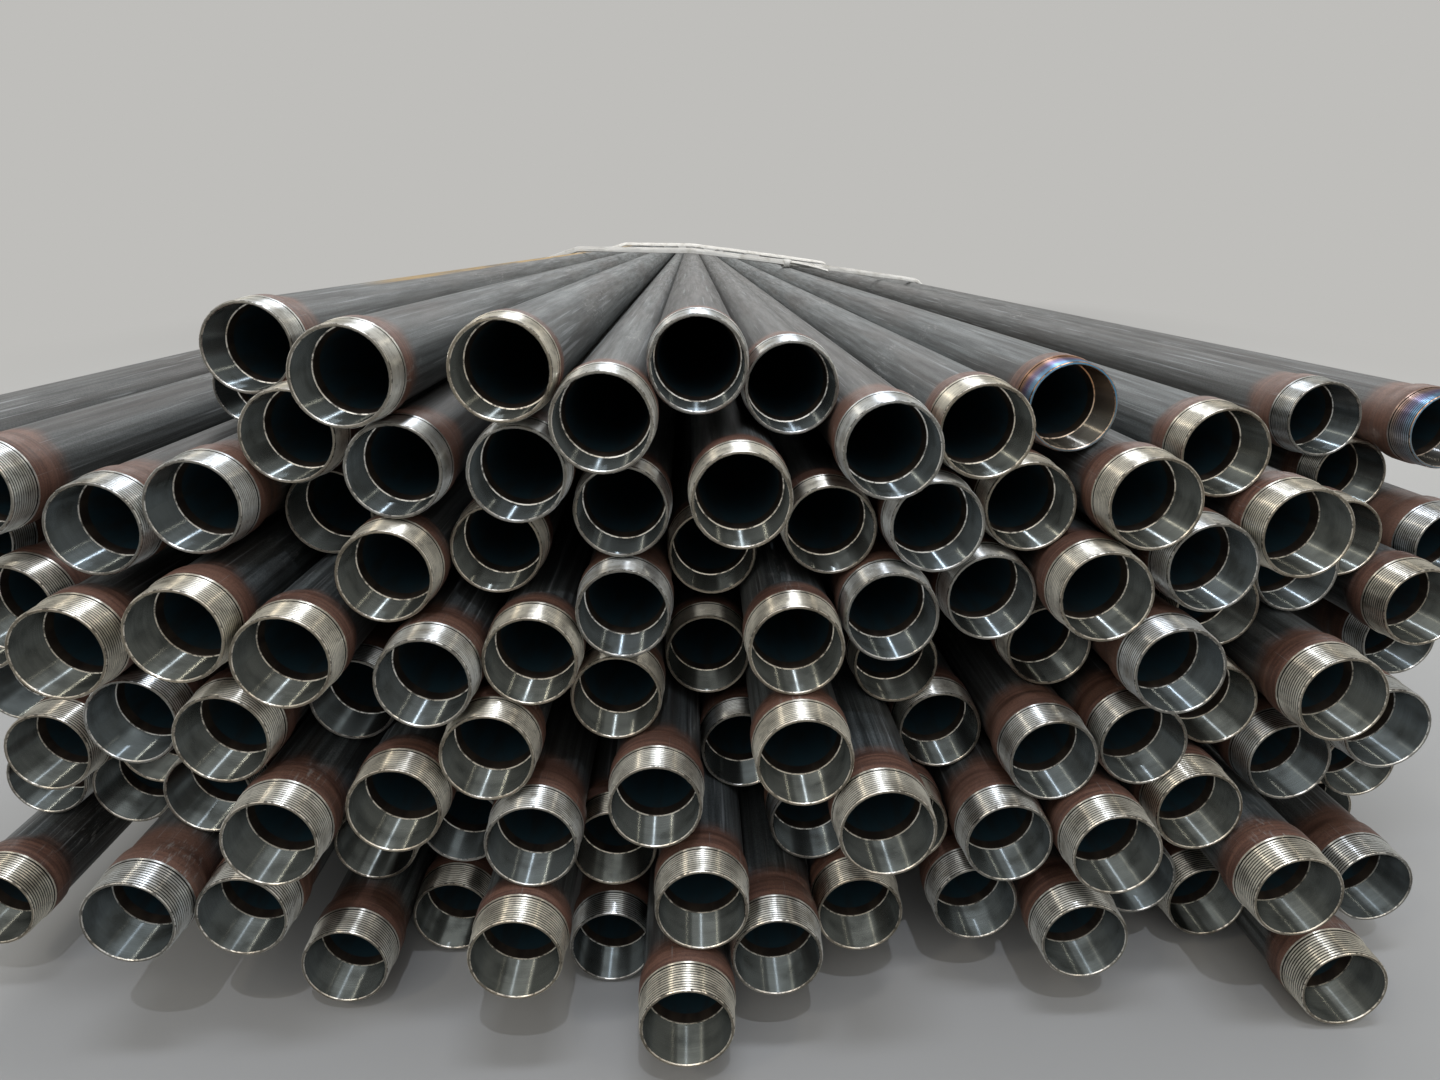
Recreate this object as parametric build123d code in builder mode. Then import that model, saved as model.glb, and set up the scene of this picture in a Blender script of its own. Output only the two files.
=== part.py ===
from build123d import *
from itertools import islice
import math
import os

# A strapped bundle of threaded steel tubing, lying along Y on level ground.
# The ends that face -Y stand out by different amounts, as they were left by the crane.
# Millimetres, +Z up. The origin is under the middle of the bundle's box, on the ground.

# One pipe: thick-walled tubing, its ends upset, threaded outside and bored out inside.
# Lengths at an end follow each other inwards from the face: pin, upset, shoulder.
pipe_length = 9500.0
body_diameter = 88.9
body_wall = 6.45
upset_rise = 3.175
upset_length = 23.0
shoulder_length = 16.0
pin_length = 35.0
pin_root_step = 1.0
pin_taper = 1 / 16
mouth_wall = 3.7
counterbore_depth = 51.0
throat_length = 10.0

# How the pipes lie: a hair of air where two of them touch
contact_air = 0.3
settle_turns = 3000
settle_error = 0.02

# Woven straps round the whole bundle
strap_width = 50.0
strap_thickness = 2.5
strap_air = 0.3
strap_inset = 3300.0

# Radii of a pipe, from the body out to the upset and in again to the pin and its mouth
body_radius = body_diameter / 2
bore_radius = body_radius - body_wall
upset_radius = body_radius + upset_rise
pin_back_radius = upset_radius - pin_root_step
pin_end_radius = pin_back_radius - pin_length * pin_taper / 2
counterbore_radius = pin_end_radius - mouth_wall

# Distances from the end face
upset_end = pin_length + upset_length
shoulder_end = upset_end + shoulder_length

# Places are counted in pitches, one pitch being an upset end and its air
pitch = 2 * upset_radius + contact_air

# Layers from the ground up. Each pipe is given by hand as how far across it lies,
# how high its axis is, both in pitches, and how far its end stands back, in mm.
layers = [
    [
        (-7.15, 0.55, 435), (-6.15, 0.55, 395), (-5.15, 0.55, 450), (-3.85, 0.65, 120),
        (-2.90, 0.55, 210), (-1.95, 0.50, 450), (-1.00, 0.50, 160), (-0.10, 0.90, 0),
        (2.45, 0.50, 435), (6.10, 0.75, 185), (7.05, 0.55, 70), (8.85, 0.55, 395),
    ],
    [
        (-7.90, 1.15, 165), (-5.65, 1.80, 55), (-4.70, 1.65, 80), (-3.70, 1.60, 205),
        (-1.80, 1.50, 30), (-0.90, 1.85, 155), (0.05, 1.85, 50), (0.85, 1.25, 55),
        (1.80, 1.20, 120), (3.15, 1.15, 140), (4.20, 1.05, 90), (5.15, 1.15, 180),
        (6.25, 1.80, 60), (7.15, 1.50, 415), (8.00, 1.00, 175), (8.55, 1.85, 305),
    ],
    [
        (-7.80, 2.10, 275), (-6.80, 1.95, 275), (-6.15, 2.75, 235), (-5.20, 2.65, 150),
        (-4.10, 2.75, 45), (-2.60, 2.00, 180), (-1.65, 2.45, 75), (0.55, 2.70, 215),
        (1.30, 2.05, 165), (2.35, 2.05, 155), (3.35, 2.15, 110), (4.35, 2.25, 75),
        (5.45, 2.40, 125), (6.65, 2.70, 170), (7.70, 2.30, 470),
    ],
    [
        (-8.10, 3.20, 305), (-7.20, 2.85, 205), (-6.70, 3.65, 425), (-5.75, 3.60, 130),
        (-4.60, 3.65, 85), (-3.65, 3.60, 175), (-3.00, 2.90, 75), (-2.05, 3.40, 85),
        (-0.40, 2.90, 75), (1.05, 3.50, 50), (1.85, 2.90, 25), (2.80, 2.95, 210),
        (3.80, 3.05, 125), (4.80, 3.15, 135), (5.75, 3.40, 175), (7.50, 3.25, 145),
        (9.00, 3.40, 335),
    ],
    [
        (-7.95, 4.15, 240), (-2.60, 4.25, 80), (-1.60, 4.35, 105), (-0.80, 3.75, 140),
        (0.15, 3.85, 225), (2.25, 3.80, 210), (3.95, 4.00, 205), (4.90, 4.15, 105),
        (5.85, 4.40, 215), (6.70, 3.80, 110), (8.45, 4.25, 245),
    ],
    [
        (-8.00, 5.15, 270), (-7.00, 4.70, 170), (-6.05, 4.55, 90), (-4.80, 4.80, 70),
        (-3.85, 4.55, 65), (-0.70, 4.75, 125), (0.20, 5.10, 215), (1.00, 4.50, 90),
        (2.00, 4.70, 120), (3.10, 4.75, 160), (4.05, 4.95, 105), (5.20, 5.15, 130),
        (6.75, 4.75, 230), (7.75, 4.90, 300), (9.30, 4.70, 325),
    ],
    [
        (-5.75, 5.65, 135), (-4.80, 5.85, 135), (-3.90, 5.50, 235), (-3.00, 5.20, 115),
        (-2.00, 5.30, 170), (-0.70, 5.75, 145), (1.40, 5.50, 160), (2.40, 5.60, 130),
        (3.45, 5.70, 165), (4.50, 5.85, 120), (6.15, 5.50, 135), (7.10, 5.65, 490),
        (8.60, 5.35, 425),
    ],
    [
        (-8.05, 6.10, 195), (-7.05, 5.95, 155), (-5.45, 6.55, 435), (-3.95, 6.50, 165),
        (-2.85, 6.20, 135), (-1.65, 6.20, 115), (0.45, 6.00, 85), (1.85, 6.45, 95),
        (2.85, 6.55, 135), (5.50, 6.20, 185), (7.95, 6.15, 400), (9.25, 6.05, 365),
    ],
    [
        (-4.50, 7.25, 230), (-3.15, 7.15, 105), (-1.70, 7.20, 95), (-0.80, 6.75, 85),
        (0.05, 7.20, 135), (1.00, 6.90, 185), (3.95, 6.65, 210),
    ],
]

# The pipe's outline from its end face inwards, as (distance from the face, radius)
outline = [
    (0, pin_end_radius),
    (pin_length, pin_back_radius),
    (pin_length, upset_radius),
    (upset_end, upset_radius),
    (shoulder_end, body_radius),
]


def radius_at(distance):
    """Outer radius at a distance from the end face; a step counts as its larger side."""
    if distance < 0:
        return -math.inf
    best = body_radius if distance >= shoulder_end else 0
    for (start, first), (end, last) in zip(outline, outline[1:]):
        if start <= distance <= end:
            run = end - start
            best = max(best, first + (last - first) * (distance - start) / run if run else last)
    return best


def apart(stagger):
    """Least distance between the axes of two pipes whose ends are this far out of line."""
    stagger = abs(stagger)
    knots = [distance for distance, radius in outline]
    checked = knots + [knot + stagger for knot in knots]
    widest = max(radius_at(at) + radius_at(at - stagger) for at in checked if at >= stagger)
    return widest + contact_air


def settle(places):
    """Draw the pipes together until each touches a neighbour and none overlaps another."""
    centres = [[across * pitch, up * pitch] for across, up, back in places]
    pairs = []
    for first in range(len(places)):
        for second in range(first):
            reach = apart(places[first][2] - places[second][2])
            gap = math.dist(centres[first], centres[second]) - reach
            if gap < pitch / 2:
                pairs.append((gap, first, second, reach))

    # The narrowest gaps that join all the pipes into one heap are the ones that close
    pairs.sort()
    group = list(range(len(places)))
    touching = set()
    for gap, first, second, reach in pairs:
        if group[first] != group[second]:
            touching.add((first, second))
            old = group[first]
            group = [group[second] if member == old else member for member in group]

    for turn in range(settle_turns):
        worst = 0
        for gap, first, second, reach in pairs:
            here, there = centres[first], centres[second]
            distance = math.dist(here, there)
            short = reach - distance
            if short > 0 or (first, second) in touching:
                worst = max(worst, abs(short))
                across = (here[0] - there[0]) * short / distance / 2
                up = (here[1] - there[1]) * short / distance / 2
                centres[first] = [here[0] + across, here[1] + up]
                centres[second] = [there[0] - across, there[1] - up]
        if worst < settle_error:
            break
    return centres


places = [place for layer in layers for place in layer]
centres = settle(places)

# The frame: the lowest upset touches the ground, and the box's middle is over the origin
lowest = min(up for across, up in centres)
middle = (min(across for across, up in centres) + max(across for across, up in centres)) / 2
deepest = max(back for across, up, back in places)
front = -(pipe_length + deepest) / 2
axes = [(across - middle, up - lowest + upset_radius) for across, up in centres]

# One pipe, revolved about Y with its front face at Y = 0
half = pipe_length / 2
with BuildPart() as pipe:
    with BuildSketch(Plane.XY):
        with BuildLine():
            Polyline(
                (counterbore_radius, 0),
                *[(radius, distance) for distance, radius in outline],
                (body_radius, half),
                (bore_radius, half),
                (bore_radius, counterbore_depth + throat_length),
                (counterbore_radius, counterbore_depth),
                close=True,
            )
        make_face()
    revolve(axis=Axis.Y)
    mirror(about=Plane.XZ.offset(-half))

os.makedirs("parts", exist_ok=True)

# The layers, each a node of separate pipes
placed = zip(places, axes)
for number, layer in enumerate(layers, start=1):
    with BuildPart() as pipes:
        for (across, up, back), (x, z) in islice(placed, len(layer)):
            with Locations((x, front + back, z)):
                add(pipe.part)
    pipes.part.label = f"pipe_layer_{number}"
    export_step(pipes.part, f"parts/pipe_layer_{number}.step")


def turn_at(before, corner, after):
    """Positive where the way from before to after turns left at the corner."""
    first = (corner[0] - before[0], corner[1] - before[1])
    second = (after[0] - corner[0], after[1] - corner[1])
    return first[0] * second[1] - first[1] * second[0]


def outer_run(spots):
    """The spots that a taut string touches on one side of the heap, from end to end."""
    run = []
    for spot in spots:
        while len(run) > 1 and turn_at(run[-2], run[-1], spot) <= 0:
            run.pop()
        run.append(spot)
    return run


def loop_face(radius):
    """The area inside a loop pulled tight round circles of this radius on the outer pipes."""
    with BuildSketch(Plane.XZ) as face:
        with Locations(*outermost):
            Circle(radius)
        make_hull()
    return face.sketch


# The straps: taut loops round the pipes that stand out furthest
across_heap = sorted(axes)
outermost = set(outer_run(across_heap)) | set(outer_run(across_heap[::-1]))
strap_seat = body_radius + strap_air
inner_loop = loop_face(strap_seat)
outer_loop = loop_face(strap_seat + strap_thickness)
strap_places = {
    "strap_front": front + strap_inset,
    "strap_back": front + pipe_length - strap_inset,
}
for name, station in strap_places.items():
    with BuildPart() as strap:
        with Locations((0, station + strap_width / 2, 0)):
            add(extrude(outer_loop, strap_width, mode=Mode.PRIVATE))
            add(extrude(inner_loop, strap_width, mode=Mode.PRIVATE), mode=Mode.SUBTRACT)
    strap.part.label = name
    export_step(strap.part, f"parts/{name}.step")
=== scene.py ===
import math
import random

import bpy
from mathutils import Matrix, Vector


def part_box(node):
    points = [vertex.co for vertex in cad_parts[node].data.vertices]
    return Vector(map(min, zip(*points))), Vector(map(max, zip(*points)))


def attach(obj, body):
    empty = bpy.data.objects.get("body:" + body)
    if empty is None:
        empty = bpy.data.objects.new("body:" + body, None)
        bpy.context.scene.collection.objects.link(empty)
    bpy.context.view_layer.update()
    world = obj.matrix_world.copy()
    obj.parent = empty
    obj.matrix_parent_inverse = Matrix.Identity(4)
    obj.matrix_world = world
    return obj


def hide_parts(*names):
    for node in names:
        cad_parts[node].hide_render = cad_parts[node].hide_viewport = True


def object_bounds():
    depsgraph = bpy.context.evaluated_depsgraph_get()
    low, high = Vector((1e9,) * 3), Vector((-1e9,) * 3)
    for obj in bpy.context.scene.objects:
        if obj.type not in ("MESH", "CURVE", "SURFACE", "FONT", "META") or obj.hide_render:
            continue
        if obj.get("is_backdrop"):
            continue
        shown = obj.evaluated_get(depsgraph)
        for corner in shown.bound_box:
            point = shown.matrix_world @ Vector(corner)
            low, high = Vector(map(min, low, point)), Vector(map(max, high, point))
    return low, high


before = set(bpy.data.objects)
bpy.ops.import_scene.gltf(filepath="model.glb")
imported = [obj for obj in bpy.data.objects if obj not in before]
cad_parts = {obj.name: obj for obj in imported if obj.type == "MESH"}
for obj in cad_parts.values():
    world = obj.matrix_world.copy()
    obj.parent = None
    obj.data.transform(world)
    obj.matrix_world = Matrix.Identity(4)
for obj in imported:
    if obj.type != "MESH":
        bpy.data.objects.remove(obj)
cad_low, cad_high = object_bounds()
mm = 0.001

# The camera: a phone's wide lens, held low in front of the ends and a little left of the middle.
# The pipes all run to one vanishing point in the picture, which gives its tilt and its turn.
photo_width = 1440
photo_height = 1080
focal_length_px = 985
vanishing_point_px = (690, 237)
sensor_width = 36
stand_off = 749.5 * mm
eye_height = 797.3 * mm
eye_across = -57.8 * mm
nearest_seen = 50 * mm
furthest_seen = 200

tilt = math.atan2(photo_height / 2 - vanishing_point_px[1], focal_length_px)
turn = math.atan2((photo_width / 2 - vanishing_point_px[0]) * math.cos(tilt), focal_length_px)
lens = bpy.data.cameras.new("camera")
lens.sensor_width = sensor_width
lens.lens = focal_length_px / photo_width * sensor_width
lens.clip_start = nearest_seen
lens.clip_end = furthest_seen
camera = bpy.data.objects.new("camera", lens)
camera.location = (eye_across, cad_low.y - stand_off, eye_height)
camera.rotation_euler = (math.pi / 2 - tilt, 0, -turn)
bpy.context.scene.collection.objects.link(camera)
bpy.context.scene.camera = camera

# The pipes: thick-walled tubing whose ends are upset, then turned, threaded and bored out.
# One is modelled, half of it from ring to ring as on a lathe, and mirrored for its far end.
# Each layer's pipes are copies of it, laid where that layer's solids are.
pipe_length = 9500 * mm
body_radius = 44.45 * mm
bore_radius = 38.0 * mm
upset_radius = 47.625 * mm
upset_end = 58 * mm
shoulder_end = 74 * mm
pin_length = 35 * mm
pin_root_step = 1.0 * mm
pin_taper = 1 / 16
counterbore_radius = 41.83 * mm
counterbore_depth = 51 * mm
throat_length = 10 * mm
thread_pitch = 3.175 * mm
thread_height = 1.3 * mm
thread_start = 3.4 * mm
thread_crests = 10
nose_drop = 1.3 * mm
nose_length = 0.9 * mm
nose_edge_drop = 0.5 * mm
root_bevel = 1.0 * mm
shoulder_steps = 4
mouth_chamfer = 0.8 * mm
counterbore_edge = 0.4 * mm
counterbore_step = 1.2 * mm
pipe_sides = 44
pipe_smooth_angle = math.radians(35)
weld_distance = 0.01 * mm
half_length = pipe_length / 2


def pin_radius(distance):
    """The pin's crests lie on a cone, a distance from the face."""
    return upset_radius - pin_root_step - (pin_length - distance) * pin_taper / 2


def eased(share):
    """A share from 0 to 1 that starts and ends gently."""
    return share * share * (3 - 2 * share)


def outside_rings():
    """The outside from the face inwards, as (distance from the face, radius)."""
    rings = [(0, pin_radius(0) - nose_drop)]
    rings.append((nose_length, pin_radius(0) - nose_edge_drop))
    for crest in range(thread_crests):
        distance = thread_start + crest * thread_pitch
        root = distance - thread_pitch / 2
        rings.append((root, pin_radius(root) - thread_height))
        rings.append((distance, pin_radius(distance)))
    rings.append((distance + thread_pitch / 2, pin_radius(distance) - thread_height / 2))
    rings.append((pin_length - root_bevel, pin_radius(pin_length - root_bevel)))
    rings.append((pin_length + root_bevel / 2, upset_radius))
    rings.append((upset_end, upset_radius))
    for step in range(1, shoulder_steps + 1):
        share = step / shoulder_steps
        radius = upset_radius + (body_radius - upset_radius) * eased(share)
        rings.append((upset_end + (shoulder_end - upset_end) * share, radius))
    return rings


def inside_rings():
    """The inside from the face inwards, as (distance from the face, radius)."""
    return [
        (0, counterbore_radius + mouth_chamfer),
        (mouth_chamfer, counterbore_radius),
        (counterbore_depth - counterbore_edge, counterbore_radius),
        (counterbore_depth, counterbore_radius - counterbore_step),
        (counterbore_depth + throat_length, bore_radius),
        (half_length, bore_radius),
    ]


bpy.ops.object.select_all(action="DESELECT")
bpy.ops.mesh.primitive_circle_add(vertices=pipe_sides, radius=body_radius, rotation=(math.pi / 2, 0, 0))
blank = bpy.context.object
bpy.ops.object.transform_apply(location=True, rotation=True, scale=True)
bpy.ops.object.mode_set(mode="EDIT")
bpy.ops.mesh.select_all(action="SELECT")
here, radius = half_length, body_radius
for distance, next_radius in outside_rings()[::-1] + inside_rings():
    bpy.ops.mesh.extrude_region_move(TRANSFORM_OT_translate={"value": (0, distance - here, 0)})
    ratio = next_radius / radius
    bpy.ops.transform.resize(value=(ratio, 1, ratio), center_override=(0, 0, 0))
    here, radius = distance, next_radius
bpy.ops.object.mode_set(mode="OBJECT")
mirror = blank.modifiers.new("far_end", "MIRROR")
mirror.use_axis = (False, True, False)
mirror.merge_threshold = weld_distance
bpy.ops.object.modifier_apply(modifier=mirror.name)
bpy.ops.object.mode_set(mode="EDIT")
bpy.ops.mesh.select_all(action="SELECT")
bpy.ops.mesh.normals_make_consistent(inside=False)
bpy.ops.object.mode_set(mode="OBJECT")
bpy.ops.object.shade_smooth_by_angle(angle=pipe_smooth_angle)


def from_face(place):
    """How far a point of the pipe is from the nearer end face."""
    return half_length - abs(place.y)


def off_axis(place):
    """How far a point of the pipe is from its axis."""
    return math.hypot(place.x, place.z)


# Which finish each face gets, by its place: numbers into the list of materials below
thread_finish, mouth_finish, counterbore_finish, lip_finish, bore_finish, scale_finish = range(6)
for face in blank.data.polygons:
    distance = from_face(face.center)
    inside = off_axis(face.center) < counterbore_radius + mouth_chamfer
    if distance < mouth_chamfer / 4:
        face.material_index = mouth_finish
    elif distance < (mouth_chamfer if inside else thread_start / 3):
        face.material_index = lip_finish
    elif inside and distance < counterbore_depth - counterbore_edge:
        face.material_index = counterbore_finish
    elif inside and distance < counterbore_depth:
        face.material_index = lip_finish
    elif inside:
        face.material_index = bore_finish
    elif distance < pin_length + root_bevel / 2:
        face.material_index = thread_finish
    else:
        face.material_index = scale_finish


def colour(code):
    """A colour written as an sRGB hex code, turned to linear."""
    shares = [int(code[start:start + 2], 16) / 255 for start in (1, 3, 5)]
    linear = [share / 12.92 if share <= 0.04045 else ((share + 0.055) / 1.055) ** 2.4 for share in shares]
    return (*linear, 1)


def node(tree, kind, inputs=None, **settings):
    """Add a node with its settings; an input that is given as a socket is linked to it."""
    made = tree.nodes.new(kind)
    for name, value in settings.items():
        setattr(made, name, value)
    for name, value in (inputs or {}).items():
        if isinstance(value, bpy.types.NodeSocket):
            tree.links.new(value, made.inputs[name])
        else:
            made.inputs[name].default_value = value
    return made


def finish_tree(name):
    """A new material with an empty tree but for its shader, as (material, tree, shader)."""
    material = bpy.data.materials.new(name)
    material.use_nodes = True
    tree = material.node_tree
    tree.nodes.clear()
    shader = node(tree, "ShaderNodeBsdfPrincipled")
    node(tree, "ShaderNodeOutputMaterial", {"Surface": shader.outputs[0]})
    return material, tree, shader


tone_shift = (3, 7, 5)


def pipe_coordinates(tree):
    """A point's place on its own pipe, the pipe's tone, and the place shifted by that tone, so that
    no two pipes look alike."""
    place = node(tree, "ShaderNodeAttribute", attribute_name="pipe_place").outputs["Vector"]
    tone = node(tree, "ShaderNodeAttribute", attribute_name="pipe_tone").outputs["Fac"]
    settings = {0: tone_shift, "Scale": tone}
    shift = node(tree, "ShaderNodeVectorMath", settings, operation="SCALE").outputs[0]
    spot = node(tree, "ShaderNodeVectorMath", {0: place, 1: shift}, operation="ADD").outputs[0]
    return place, tone, spot


def stretched_noise(tree, spot, across_mm, along_mm, detail=3, roughness=0.5):
    """Noise whose grains are this long across the pipe and along it."""
    scale = (1 / (across_mm * mm), 1 / (along_mm * mm), 1 / (across_mm * mm))
    sized = node(tree, "ShaderNodeMapping", {"Vector": spot, "Scale": scale}).outputs[0]
    settings = {"Vector": sized, "Scale": 1.0, "Detail": detail, "Roughness": roughness}
    return node(tree, "ShaderNodeTexNoise", settings).outputs["Fac"]


def blend(tree, share, first, second):
    """A colour between two, which are hex codes or sockets."""
    ends = [colour(end) if isinstance(end, str) else end for end in (first, second)]
    mixed = node(tree, "ShaderNodeMix", data_type="RGBA")
    for number, value in ((0, share), (6, ends[0]), (7, ends[1])):
        if isinstance(value, bpy.types.NodeSocket):
            tree.links.new(value, mixed.inputs[number])
        else:
            mixed.inputs[number].default_value = value
    return mixed.outputs[2]


def between(tree, value, low, high, first=0.0, last=1.0):
    """A value taken from one range to another, eased and held at its ends."""
    settings = {"Value": value, "From Min": low, "From Max": high, "To Min": first, "To Max": last}
    ranged = node(tree, "ShaderNodeMapRange", settings, interpolation_type="SMOOTHSTEP")
    return ranged.outputs["Result"]


def inward(tree, place):
    """How far a point is from the nearer end face, as from_face works it out."""
    along = node(tree, "ShaderNodeSeparateXYZ", {0: place}).outputs["Y"]
    from_middle = node(tree, "ShaderNodeMath", {0: along}, operation="ABSOLUTE").outputs[0]
    settings = {0: half_length, 1: from_middle}
    return node(tree, "ShaderNodeMath", settings, operation="SUBTRACT").outputs[0]


heat_tint_ends = (5 * mm, 17 * mm, 32 * mm)


def heated(tree, place, steel, tints):
    """Steel with the colours of heat on the pipes that carry them: tints from the face inwards."""
    heat = node(tree, "ShaderNodeAttribute", attribute_name="pipe_heat").outputs["Fac"]
    height = node(tree, "ShaderNodeSeparateXYZ", {0: place}).outputs["Z"]
    upper = between(tree, height, -0.4 * body_radius, 0.5 * body_radius, 0.4, 1.0)
    share = node(tree, "ShaderNodeMath", {0: heat, 1: upper}, operation="MULTIPLY").outputs[0]
    distance = inward(tree, place)
    first_end, second_end, last_end = heat_tint_ends
    nearer = blend(tree, between(tree, distance, first_end, second_end), tints[0], tints[1])
    tint = blend(tree, between(tree, distance, second_end, last_end), nearer, tints[2])
    return blend(tree, share, steel, tint)


def turned_steel(name, dark, light, cool, roughness, stretch, tints):
    """Bare alloy steel fresh off the lathe: fine rings round the axis, which draw lights out across
    them. The rings are drawn three times as coarse as they are, to show. Returns the material with
    what its finishes build on: tree, shader, place, spot and colour."""
    material, tree, shader = finish_tree(name)
    place, tone, spot = pipe_coordinates(tree)
    rings = stretched_noise(tree, spot, 90, 1.5, detail=2)
    stains = stretched_noise(tree, spot, 30, 26, detail=4)
    own_light = blend(tree, between(tree, tone, 0.2, 0.9), light, cool)
    bare = blend(tree, between(tree, stains, 0.4, 0.85), own_light, dark)
    ringed = blend(tree, between(tree, rings, 0.35, 0.65, 0.0, 0.3), bare, dark)
    steel = heated(tree, place, ringed, tints)
    tree.links.new(steel, shader.inputs["Base Color"])
    rough = between(tree, stains, 0.3, 0.75, roughness, roughness + 0.06)
    tree.links.new(rough, shader.inputs["Roughness"])
    shader.inputs["Metallic"].default_value = 1.0
    shader.inputs["Anisotropic"].default_value = stretch
    axis = node(tree, "ShaderNodeCombineXYZ", {"Y": 1.0}).outputs[0]
    tree.links.new(axis, shader.inputs["Tangent"])
    bump = node(tree, "ShaderNodeBump", {"Strength": 0.15, "Distance": 0.1 * mm, "Height": rings})
    tree.links.new(bump.outputs[0], shader.inputs["Normal"])
    return material, tree, shader, place, spot, steel


def thread_steel():
    """The threaded pin: bright flanks that catch each lamp. Its roots are painted darker, as painted
    shade in the grooves, and cutting oil lies on its crests in smears."""
    material, tree, shader, place, spot, steel = turned_steel(
        "thread_turned_steel", "#9e998d", "#f4efe0", "#e4e8e8", 0.34, 1.0, ("#4592c4", "#4c3a7c", "#96603c")
    )
    smears = stretched_noise(tree, spot, 8, 12, detail=4, roughness=0.7)
    steel = blend(tree, between(tree, smears, 0.5, 0.68, 0.0, 0.35), steel, "#5d5a54")
    settings = {0: inward(tree, place), 1: thread_start}
    from_crest = node(tree, "ShaderNodeMath", settings, operation="SUBTRACT").outputs[0]
    turns = node(tree, "ShaderNodeMath", {0: from_crest, 1: thread_pitch}, operation="DIVIDE").outputs[0]
    to_root = node(tree, "ShaderNodeMath", {0: turns, 1: 0.5}, operation="PINGPONG").outputs[0]
    # The roots are painted dark: painted shade in the grooves of the thread.
    root_shaded = blend(tree, between(tree, to_root, 0.2, 0.42), steel, "#17140f")
    tree.links.new(root_shaded, shader.inputs["Base Color"])
    return material


def mouth_steel():
    """The faced end: turned rings round the mouth, which each lamp crosses with a bright spot."""
    material, tree, shader, place, _, _ = turned_steel(
        "mouth_turned_steel", "#625c52", "#a09888", "#94948f", 0.4, 0.85, ("#62a5cc", "#62a5cc", "#62a5cc")
    )
    outwards = node(tree, "ShaderNodeVectorMath", {0: place, 1: (1, 0, 1)}, operation="MULTIPLY").outputs[0]
    outwards = node(tree, "ShaderNodeVectorMath", {0: outwards}, operation="NORMALIZE").outputs[0]
    tree.links.new(outwards, shader.inputs["Tangent"])
    return material


step_lean = math.radians(50)


def counterbore_steel():
    """The bored mouth: a duller grey than the thread. Each turn of the boring tool left a tiny step
    that faces the mouth. The shading leans that way with them, so each lamp draws a thin line inwards."""
    tints = ("#5e4c3d", "#574535", "#4f3d2f")
    material, tree, shader, place, _, _ = turned_steel(
        "counterbore_turned_steel", "#3f4240", "#60635f", "#5a6163", 0.22, 1.0, tints
    )
    along = node(tree, "ShaderNodeSeparateXYZ", {0: place}).outputs["Y"]
    mouthward = node(tree, "ShaderNodeMath", {0: along}, operation="SIGN").outputs[0]
    settings = {0: mouthward, 1: math.tan(step_lean)}
    lean = node(tree, "ShaderNodeMath", settings, operation="MULTIPLY").outputs[0]
    lean = node(tree, "ShaderNodeCombineXYZ", {"Y": lean}).outputs[0]
    wall = node(tree, "ShaderNodeNewGeometry").outputs["Normal"]
    leaning = node(tree, "ShaderNodeVectorMath", {0: wall, 1: lean}, operation="ADD").outputs[0]
    leaning = node(tree, "ShaderNodeVectorMath", {0: leaning}, operation="NORMALIZE").outputs[0]
    tree.links.new(leaning, shader.inputs["Normal"])
    return material


def lip_steel():
    """The broken edges of the mouth and the small step where the boring tool stopped: torn, so they
    glitter in places and are dull between."""
    material, tree, shader, _, spot, steel = turned_steel(
        "lip_turned_steel", "#b5aa97", "#f0e8d9", "#e4e4e0", 0.3, 0.0, ("#c98b52", "#c98b52", "#c98b52")
    )
    tears = stretched_noise(tree, spot, 7, 7, detail=3, roughness=0.7)
    torn = blend(tree, between(tree, tears, 0.46, 0.62, 0.0, 0.8), steel, "#2b2926")
    tree.links.new(torn, shader.inputs["Base Color"])
    return material


def bore_scale():
    """The bore as it was rolled: blue-black mill scale, dull. The throat between it and the
    counterbore was heated with the upset, and is a shade browner up to where it ends."""
    material, tree, shader = finish_tree("bore_mill_scale")
    place, _, spot = pipe_coordinates(tree)
    patches = stretched_noise(tree, spot, 14, 60, detail=4)
    scale = blend(tree, between(tree, patches, 0.4, 0.7), "#263d46", "#2b3438")
    throat_end = counterbore_depth + throat_length
    throat = blend(tree, between(tree, patches, 0.35, 0.7), "#2d2621", "#443a31")
    whole = blend(tree, between(tree, inward(tree, place), throat_end - mm, throat_end + mm), throat, scale)
    tree.links.new(whole, shader.inputs["Base Color"])
    shader.inputs["Roughness"].default_value = 0.6
    shader.inputs["Specular IOR Level"].default_value = 0.3
    return material


def lengthwise_scale(tree, tone, spot, streaks, patches, grain, flakes):
    """Dark grey mill scale drawn out lengthwise, warmer on some pipes, with light drag marks. Its light
    streaks and drag marks are partly real and partly painted sheen, highlights drawn into the colour.
    """
    # The light streaks are partly the scale's own and partly painted sheen.
    grey = blend(tree, between(tree, streaks, 0.34, 0.66), "#363a3a", "#707676")
    toned = blend(tree, between(tree, tone, 0.45, 0.95, 0.0, 0.5), grey, "#4a423b")
    warm = blend(tree, between(tree, patches, 0.46, 0.7, 0.0, 0.55), toned, "#3d342e")
    flaked = blend(tree, between(tree, flakes, 0.5, 0.68, 0.0, 0.35), warm, "#1c1e20")
    grained = blend(tree, between(tree, grain, 0.35, 0.7, 0.0, 0.5), flaked, "#17191a")
    # Light drag marks, partly real scratches and partly painted sheen streaks.
    drags_and_sheen = stretched_noise(tree, spot, 3.5, 260, detail=3, roughness=0.55)
    return blend(tree, between(tree, drags_and_sheen, 0.6, 0.7, 0.0, 0.6), grained, "#989b9c")


stripe_width = 22 * mm
stripe_lean = math.radians(-6)
stripe_starts = 300 * mm
stripe_full_from = 600 * mm


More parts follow.
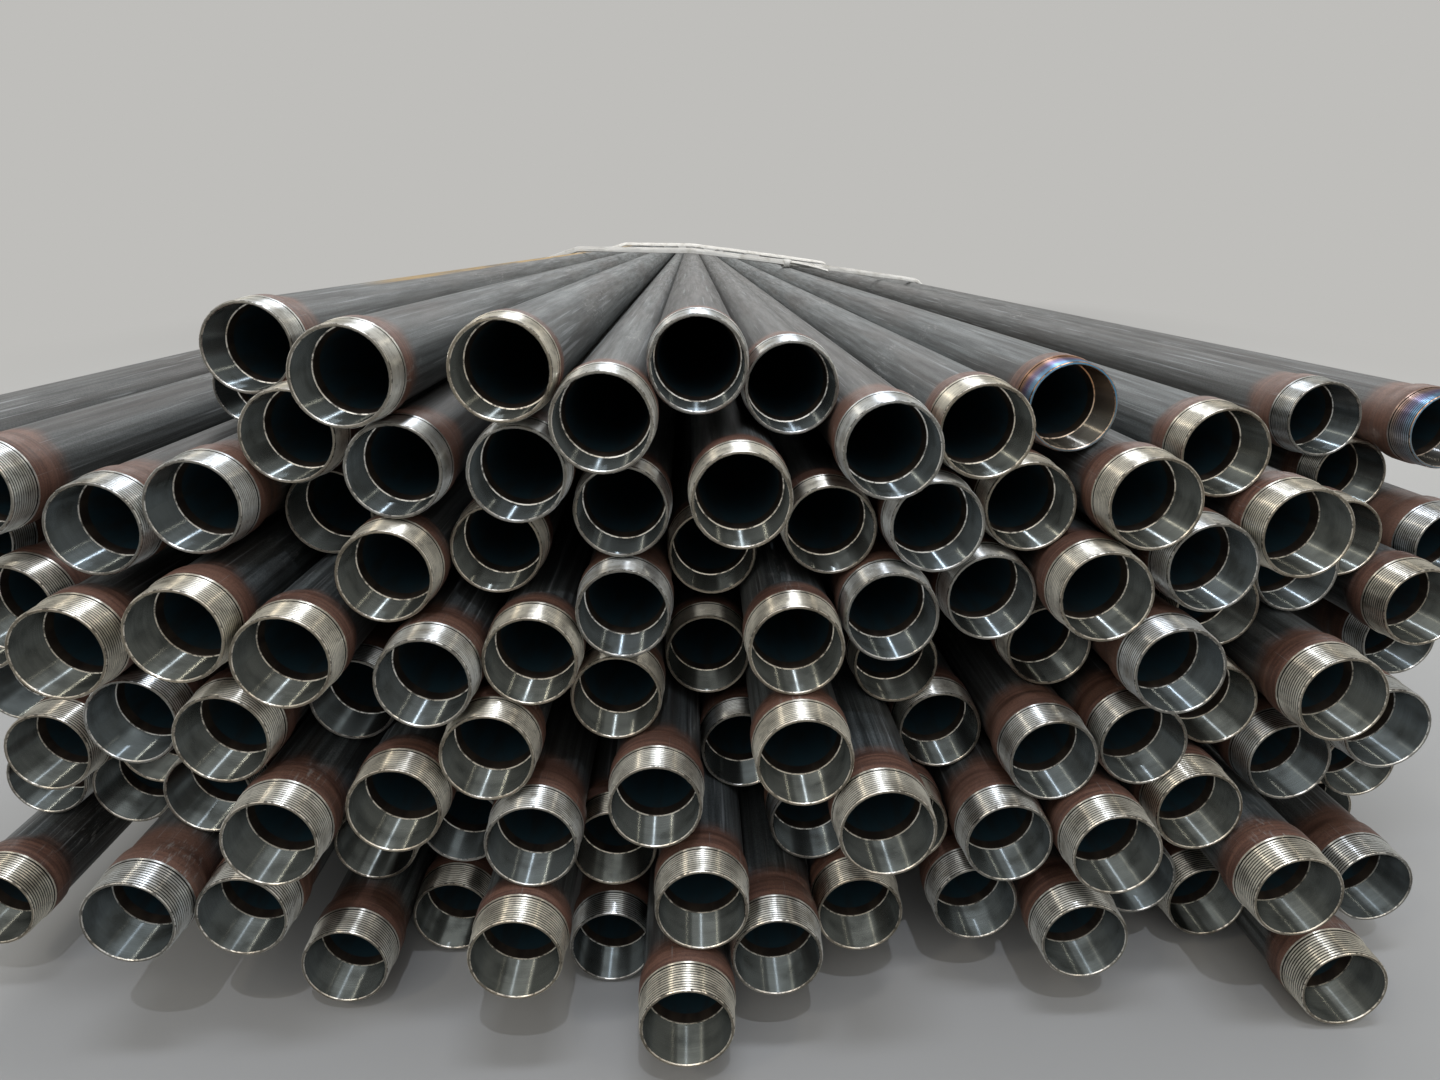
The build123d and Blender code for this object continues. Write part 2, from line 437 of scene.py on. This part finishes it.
def painted(tree, place, streaks, body):
    """The body with a worn stripe of yellow paint along its top, on the pipe that carries one."""
    paint = node(tree, "ShaderNodeAttribute", attribute_name="pipe_paint").outputs["Fac"]
    settings = {0: place, 1: (math.cos(stripe_lean), 0, math.sin(stripe_lean))}
    aside = node(tree, "ShaderNodeVectorMath", settings, operation="DOT_PRODUCT").outputs["Value"]
    aside = node(tree, "ShaderNodeMath", {0: aside}, operation="ABSOLUTE").outputs[0]
    height = node(tree, "ShaderNodeSeparateXYZ", {0: place}).outputs["Z"]
    on_top = node(tree, "ShaderNodeMath", {0: height, 1: 0.0}, operation="GREATER_THAN").outputs[0]
    share = between(tree, aside, stripe_width * 0.3, stripe_width * 0.6, 0.85, 0.0)
    left = between(tree, streaks, 0.3, 0.55)
    beyond = between(tree, inward(tree, place), stripe_starts, stripe_full_from)
    for limit in (left, on_top, paint, beyond):
        share = node(tree, "ShaderNodeMath", {0: share, 1: limit}, operation="MULTIPLY").outputs[0]
    return blend(tree, share, body, "#b58c35")


rust_from = 22 * mm
rust_to = 52 * mm
rust_spread = 44 * mm


def burnt_ends(tree, place, tone, spot, patches, grain, body):
    """The body with its ends rust-brown in soft bands, further in on some pipes than on others."""
    bands = stretched_noise(tree, spot, 70, 4, detail=3)
    rust = blend(tree, between(tree, bands, 0.35, 0.65), "#5a4036", "#7d5b4c")
    dusted = blend(tree, between(tree, tone, 0.5, 1.0, 0.0, 0.6), rust, "#7b5d4f")
    rusty = blend(tree, between(tree, grain, 0.4, 0.7, 0.0, 0.4), dusted, "#33221a")
    further = node(tree, "ShaderNodeMath", {0: tone, 1: patches}, operation="ADD").outputs[0]
    uneven = node(tree, "ShaderNodeMath", {0: further, 1: rust_spread}, operation="MULTIPLY").outputs[0]
    settings = {0: inward(tree, place), 1: uneven}
    reach = node(tree, "ShaderNodeMath", settings, operation="SUBTRACT").outputs[0]
    return blend(tree, between(tree, reach, rust_from, rust_to, 1.0, 0.0), body, rusty)


def handled(tree, spot, whole):
    """The outside with the marks of handling: fine light scratches, and rubs where slings chafed."""
    scratch = stretched_noise(tree, spot, 0.9, 160, detail=2, roughness=0.4)
    scratched = blend(tree, between(tree, scratch, 0.68, 0.76, 0.0, 0.5), whole, "#9a9c9a")
    rubs = between(tree, stretched_noise(tree, spot, 4, 26, detail=5, roughness=0.75), 0.53, 0.64)
    rub_places = stretched_noise(tree, spot, 60, 240, detail=1)
    settings = {0: rubs, 1: between(tree, rub_places, 0.6, 0.7, 0.0, 0.5)}
    rubbed = node(tree, "ShaderNodeMath", settings, operation="MULTIPLY").outputs[0]
    return blend(tree, rubbed, scratched, "#a9a9a4")


def outer_scale():
    """The outside as it left the mill: dark scale, dull but for a soft sheen that breaks up in its
    flakes. Towards each end the upset was heated and pressed, which left it rust-brown."""
    material, tree, shader = finish_tree("outer_mill_scale")
    place, tone, spot = pipe_coordinates(tree)
    streaks = stretched_noise(tree, spot, 7, 420, detail=5, roughness=0.6)
    patches = stretched_noise(tree, spot, 45, 500, detail=4)
    grain = stretched_noise(tree, spot, 1.6, 2.4, detail=4, roughness=0.6)
    flakes = stretched_noise(tree, spot, 9, 190, detail=5, roughness=0.65)
    body = lengthwise_scale(tree, tone, spot, streaks, patches, grain, flakes)
    marked = painted(tree, place, streaks, body)
    whole = burnt_ends(tree, place, tone, spot, patches, grain, marked)
    tree.links.new(handled(tree, spot, whole), shader.inputs["Base Color"])
    tree.links.new(between(tree, flakes, 0.35, 0.65, 0.42, 0.54), shader.inputs["Roughness"])
    shader.inputs["Specular IOR Level"].default_value = 0.5
    bump = node(tree, "ShaderNodeBump", {"Strength": 0.4, "Distance": 0.3 * mm, "Height": grain})
    tree.links.new(bump.outputs[0], shader.inputs["Normal"])
    return material


finishes = [thread_steel(), mouth_steel(), counterbore_steel(), lip_steel(), bore_scale(), outer_scale()]
for finish in finishes:
    blank.data.materials.append(finish)


def layer_axes(name):
    """Where each pipe of a layer has its middle, read off the loose parts of the layer's solids."""
    bpy.ops.object.select_all(action="DESELECT")
    solids = bpy.data.objects.new("solids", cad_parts[name].data.copy())
    bpy.context.scene.collection.objects.link(solids)
    solids.select_set(True)
    bpy.context.view_layer.objects.active = solids
    bpy.ops.object.mode_set(mode="EDIT")
    bpy.ops.mesh.select_all(action="SELECT")
    bpy.ops.mesh.remove_doubles(threshold=weld_distance)
    bpy.ops.mesh.separate(type="LOOSE")
    bpy.ops.object.mode_set(mode="OBJECT")
    middles = []
    for solid in bpy.context.selected_objects:
        corners = [Vector(corner) for corner in solid.bound_box]
        middles.append((corners[0] + corners[6]) / 2)
        bpy.data.objects.remove(solid)
    return sorted(middles, key=lambda middle: middle.x)


# Marks that single pipes carry, each given by its layer and its place there from the left.
# Each pipe is turned about its axis and gets a tone of its own, both drawn in order.
layer_count = 9
heat_marks = {(9, 7): 0.8, (8, 12): 0.7}
painted_pipe = (9, 1)
pick = random.Random(7)
for number in range(1, layer_count + 1):
    solid_layer = f"pipe_layer_{number}"
    laid = []
    for count, middle in enumerate(layer_axes(solid_layer), start=1):
        mesh = blank.data.copy()
        mesh.transform(Matrix.Rotation(pick.uniform(0, 2 * math.pi), 4, "Y"))
        place = mesh.attributes.new("pipe_place", "FLOAT_VECTOR", "POINT")
        place.data.foreach_set("vector", [share for vertex in mesh.vertices for share in vertex.co])
        marks = {
            "pipe_tone": pick.random(),
            "pipe_heat": heat_marks.get((number, count), 0.0),
            "pipe_paint": float((number, count) == painted_pipe),
        }
        for name, value in marks.items():
            mark = mesh.attributes.new(name, "FLOAT", "POINT")
            mark.data.foreach_set("value", [value] * len(mesh.vertices))
        mesh.transform(Matrix.Translation(middle))
        pipe = bpy.data.objects.new(f"layer_{number}_pipes", mesh)
        bpy.context.scene.collection.objects.link(pipe)
        laid.append(pipe)
    bpy.ops.object.select_all(action="DESELECT")
    for pipe in laid:
        pipe.select_set(True)
    bpy.context.view_layer.objects.active = laid[0]
    bpy.ops.object.join()
    pipes = bpy.context.object
    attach(pipes, "root")
    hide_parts(solid_layer)
bpy.data.objects.remove(blank)

# The straps: woven polyester slings, once white, each pulled tight round the whole heap. They lie
# flat where the pipes press on them and bunch into pleats over the top, where the front one is knotted.
strap_width = 50 * mm
strap_thickness = 2.5 * mm
bunched_width = 36 * mm
bunched_height = 21 * mm
bunches_from = 0.72
bunches_over = 0.2
pleat_count = 2.5
pleat_depth = 0.3
pleat_drift = 1.4
pleat_drift_length = 130 * mm
sway = 5 * mm
sway_length = 210 * mm
crown_roundness = 0.97
strap_step = 14 * mm
strap_columns = 14
strap_smooth_angle = math.radians(60)
weave_rib = 2.4 * mm


def turns_left(before, corner, after):
    """Whether the way from before to after turns left at the corner."""
    came, goes = corner - before, after - corner
    return came.x * goes.y > came.y * goes.x


def taut_side(corners):
    """The corners that a string pulled tight along one side of them would touch, but for the last."""
    side = []
    for corner in corners:
        while len(side) > 1 and not turns_left(side[-2], side[-1], corner):
            side.pop()
        side.append(corner)
    return side[:-1]


def strap_line(name):
    """The loop that a strap follows, as evenly spaced (x, z) from its lowest corner round,
    read off its solid's outer side."""
    spots = {(round(spot.co.x, 5), round(spot.co.z, 5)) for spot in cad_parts[name].data.vertices}
    corners = [Vector(spot) for spot in sorted(spots)]
    loop = taut_side(corners) + taut_side(corners[::-1])
    lowest = loop.index(min(loop, key=lambda corner: corner.y))
    loop = loop[lowest:] + loop[:lowest]
    runs = list(zip(loop, loop[1:] + loop[:1]))
    around = sum((after - before).length for before, after in runs)
    step = around / round(around / strap_step)
    line = []
    due = 0.0
    for before, after in runs:
        run = (after - before).length
        while due < run - step / 100:
            line.append(before.lerp(after, due / run))
            due += step
        due -= run
    return line


def webbing():
    """Woven polyester webbing, greyed by handling: ribs across it, whose threads catch the light.
    The ribs are drawn about twice as coarse as they are, to show."""
    material, tree, shader = finish_tree("strap_webbing")
    cloth = node(tree, "ShaderNodeUVMap", uv_map="UVMap").outputs[0]
    run = node(tree, "ShaderNodeSeparateXYZ", {0: cloth}).outputs["X"]
    settings = {0: run, 1: 2 * math.pi / weave_rib}
    ribs = node(tree, "ShaderNodeMath", settings, operation="MULTIPLY").outputs[0]
    ribs = node(tree, "ShaderNodeMath", {0: ribs}, operation="SINE").outputs[0]
    spot = node(tree, "ShaderNodeTexCoord").outputs["Object"]
    settings = {"Vector": spot, "Scale": 1 / (40 * mm), "Detail": 5}
    dirt = node(tree, "ShaderNodeTexNoise", settings).outputs["Fac"]
    worn = blend(tree, between(tree, dirt, 0.45, 0.8), "#f0ede6", "#c9c4b9")
    # Darker between the ribs: painted shade in the grooves of the weave.
    ribs_shaded = blend(tree, between(tree, ribs, -1, 1, 0.25, 0.0), worn, "#8a8579")
    tree.links.new(ribs_shaded, shader.inputs["Base Color"])
    shader.inputs["Roughness"].default_value = 0.8
    shader.inputs["Sheen Weight"].default_value = 0.2
    bump = node(tree, "ShaderNodeBump", {"Strength": 0.4, "Distance": 0.4 * mm, "Height": ribs})
    tree.links.new(bump.outputs[0], shader.inputs["Normal"])
    return material


def finish_webbing(piece, length):
    """Give a shaped flat of webbing its UV map in metres, its thickness and its material."""
    for corner in piece.data.uv_layers["UVMap"].data:
        corner.uv = (corner.uv.x * length, corner.uv.y * strap_width)
    bpy.ops.object.select_all(action="DESELECT")
    piece.select_set(True)
    bpy.context.view_layer.objects.active = piece
    bpy.ops.object.mode_set(mode="EDIT")
    bpy.ops.mesh.select_all(action="SELECT")
    bpy.ops.mesh.remove_doubles(threshold=weld_distance)
    bpy.ops.mesh.normals_make_consistent(inside=False)
    bpy.ops.object.mode_set(mode="OBJECT")
    cloth = piece.modifiers.new("cloth", "SOLIDIFY")
    cloth.thickness = strap_thickness
    cloth.offset = 0
    bpy.ops.object.modifier_apply(modifier=cloth.name)
    bpy.ops.object.shade_smooth_by_angle(angle=strap_smooth_angle)
    piece.data.materials.append(webbing_finish)
    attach(piece, "root")


webbing_finish = webbing()
for name in ("strap_front", "strap_back"):
    low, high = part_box(name)
    station_y = (low.y + high.y) / 2
    line = strap_line(name)
    stations = len(line)
    bpy.ops.object.select_all(action="DESELECT")
    bpy.ops.mesh.primitive_grid_add(x_subdivisions=stations, y_subdivisions=strap_columns, size=1)
    sling = bpy.context.object
    sling.name = f"{name}_webbing"
    for vertex in sling.data.vertices:
        along, across = vertex.co.x + 0.5, vertex.co.y
        station = round(along * stations) % stations
        spot = line[station]
        run = (line[(station + 1) % stations] - line[station - 1]).normalized()
        outward = Vector((run.y, 0, -run.x))
        bunched = eased(min(max((spot.y / high.z - bunches_from) / bunches_over, 0), 1))
        width = strap_width + (bunched_width - strap_width) * bunched
        length = along * stations * strap_step
        drift = pleat_drift * math.sin(length / pleat_drift_length)
        fold = 1 - pleat_depth + pleat_depth * math.cos(2 * math.pi * pleat_count * across + drift)
        crown = math.sqrt(1 - (2 * across) ** 2 * crown_roundness)
        lift = bunched * bunched_height * fold * crown - strap_thickness / 2
        aside = across * width + bunched * sway * math.sin(length / sway_length)
        vertex.co = Vector((spot.x, station_y + aside, spot.y)) + outward * lift
    finish_webbing(sling, stations * strap_step)
    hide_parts(name)

# The knot of the front strap: the sling wound twice round itself, and its spare end, which lies
# on the slope below the knot and leans towards the near ends of the pipes.
knot_across = 330 * mm
knot_lift = 6 * mm
knot_turn_radius = 20 * mm
knot_turn_thickness = 8 * mm
knot_turn_squash = (0.62, 1.15, 1.5)
knot_turns = ((math.radians(14), -5 * mm), (math.radians(-18), 7 * mm))
tail_steps = 11
tail_columns = 6
tail_reach = 90 * mm
tail_lift = 15 * mm
tail_fold = 4 * mm
tail_fold_count = 1.5
tail_flare = 0.25
low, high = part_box("strap_front")
front_line = strap_line("strap_front")
slope = [number for number, spot in enumerate(front_line) if spot.y > high.z / 2]
nearest = min(slope, key=lambda number: abs(front_line[number].x - knot_across))
knot_spot = Vector((front_line[nearest].x, (low.y + high.y) / 2, front_line[nearest].y))
down = front_line[nearest - 1] - front_line[nearest + 1]
lean = -math.atan2(down.y, down.x)
bpy.ops.object.select_all(action="DESELECT")
for tilt_aside, shift in knot_turns:
    bpy.ops.mesh.primitive_torus_add(
        major_radius=knot_turn_radius, minor_radius=knot_turn_thickness,
        major_segments=28, minor_segments=10,
        location=knot_spot + Vector((shift, 0, knot_lift)),
        rotation=(0, math.pi / 2 + lean, tilt_aside),
    )
    turn_piece = bpy.context.object
    turn_piece.name = "strap_front_knot_turn"
    turn_piece.scale = knot_turn_squash
    bpy.ops.object.transform_apply(location=True, rotation=True, scale=True)
    bpy.ops.object.shade_smooth()
    turn_piece.data.materials.append(webbing_finish)
    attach(turn_piece, "root")

bpy.ops.object.select_all(action="DESELECT")
bpy.ops.mesh.primitive_grid_add(x_subdivisions=tail_steps, y_subdivisions=tail_columns, size=1)
tail = bpy.context.object
tail.name = "strap_front_knot_tail"
off_slope = Vector((math.sin(-lean), 0, math.cos(lean)))
for vertex in tail.data.vertices:
    along, across = vertex.co.x + 0.5, vertex.co.y
    spot = front_line[nearest - round(along * tail_steps)]
    fold = tail_fold * math.cos(2 * math.pi * tail_fold_count * across)
    lift = tail_lift * (1 - along * along) + fold
    aside = across * bunched_width * (1 + tail_flare * along) - tail_reach * along * along
    vertex.co = Vector((spot.x, knot_spot.y + aside, spot.y)) + off_slope * lift
finish_webbing(tail, tail_steps * strap_step)

# The floor and the light: a plain pale floor that runs into a backdrop of the same colour, soft
# lights in front of the ends, over the bodies and behind them, and small lamps that draw lines
# in the turned steel.
floor_size = 160
backdrop_colour = colour("#bfbebb")
floor_fades_from = 0.6
floor_fades_by = 4.5


def floor_paint():
    """Plain pale paint that keeps the object's shadow nearby and has the backdrop's colour far off."""
    material, tree, shader = finish_tree("floor_paint")
    shader.inputs["Base Color"].default_value = colour("#b6b5b2")
    shader.inputs["Roughness"].default_value = 0.8
    spot = node(tree, "ShaderNodeTexCoord").outputs["Object"]
    side = node(tree, "ShaderNodeVectorMath", {0: spot}, operation="ABSOLUTE").outputs[0]
    beyond = node(tree, "ShaderNodeVectorMath", {0: side, 1: cad_high}, operation="SUBTRACT").outputs[0]
    beyond = node(tree, "ShaderNodeVectorMath", {0: beyond, 1: (0, 0, 0)}, operation="MAXIMUM").outputs[0]
    away = node(tree, "ShaderNodeVectorMath", {0: beyond}, operation="LENGTH").outputs["Value"]
    faded = between(tree, away, floor_fades_from, floor_fades_by)
    far = node(tree, "ShaderNodeEmission", {"Color": backdrop_colour, "Strength": 1.0}).outputs[0]
    ground = node(tree, "ShaderNodeMixShader", {0: faded, 1: shader.outputs[0], 2: far}).outputs[0]
    out = [made for made in tree.nodes if made.type == "OUTPUT_MATERIAL"][0]
    tree.links.new(ground, out.inputs["Surface"])
    return material


bpy.ops.object.select_all(action="DESELECT")
bpy.ops.mesh.primitive_plane_add(size=floor_size, location=(0, 0, 0))
floor = bpy.context.object
floor.name = "floor"
floor.data.materials.append(floor_paint())
floor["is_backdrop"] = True

world = bpy.data.worlds.new("studio")
world.use_nodes = True
bpy.context.scene.world = world
studio = world.node_tree
studio.nodes.clear()
rays = node(studio, "ShaderNodeLightPath").outputs
seen = rays["Is Camera Ray"]
for ray in ("Is Glossy Ray", "Is Transmission Ray"):
    seen = node(studio, "ShaderNodeMath", {0: seen, 1: rays[ray]}, operation="MAXIMUM").outputs[0]
ambient = node(studio, "ShaderNodeBackground", {"Color": colour("#d9dcde"), "Strength": 0.6}).outputs[0]
backdrop = node(studio, "ShaderNodeBackground", {"Color": backdrop_colour, "Strength": 1.0}).outputs[0]
shown = node(studio, "ShaderNodeMixShader", {0: seen, 1: ambient, 2: backdrop}).outputs[0]
node(studio, "ShaderNodeOutputWorld", {"Surface": shown})


def lamp(name, place, aim, size, power, tint="#ffffff"):
    """A rectangular lamp that faces a point."""
    light = bpy.data.lights.new(name, "AREA")
    light.shape = "RECTANGLE"
    light.size, light.size_y = size
    light.energy = power
    light.color = colour(tint)[:3]
    fitting = bpy.data.objects.new(name, light)
    fitting.location = place
    fitting.rotation_euler = (Vector(aim) - Vector(place)).to_track_quat("-Z", "Y").to_euler()
    bpy.context.scene.collection.objects.link(fitting)


ends_middle = (0, cad_low.y, 0.4)
far_floor = (0, cad_high.y + 1.2, 0)
lamp("front_softbox", (-0.6, -9.0, 3.4), ends_middle, (4.5, 2.2), 42)
lamp("top_softbox", (0.1, -5.6, 4.2), ends_middle, (1.6, 0.5), 34, "#eaf1ff")
lamp("long_softbox", (0.3, 0.0, 4.8), (0, 0, 0.4), (3.0, 11.0), 330)
lamp("back_softbox", (0.3, 7.2, 4.8), far_floor, (3.0, 2.0), 55)
lamp("left_lamp", (-2.1, -7.2, 3.1), ends_middle, (0.25, 0.2), 9, "#fff2df")
lamp("right_lamp", (2.1, -7.2, 3.1), ends_middle, (0.25, 0.2), 4, "#fff2df")
lamp("middle_lamp", (0.1, -7.0, 3.6), ends_middle, (0.04, 0.04), 22, "#eaf1ff")

bpy.context.scene.view_settings.view_transform = "Standard"

low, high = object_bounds()
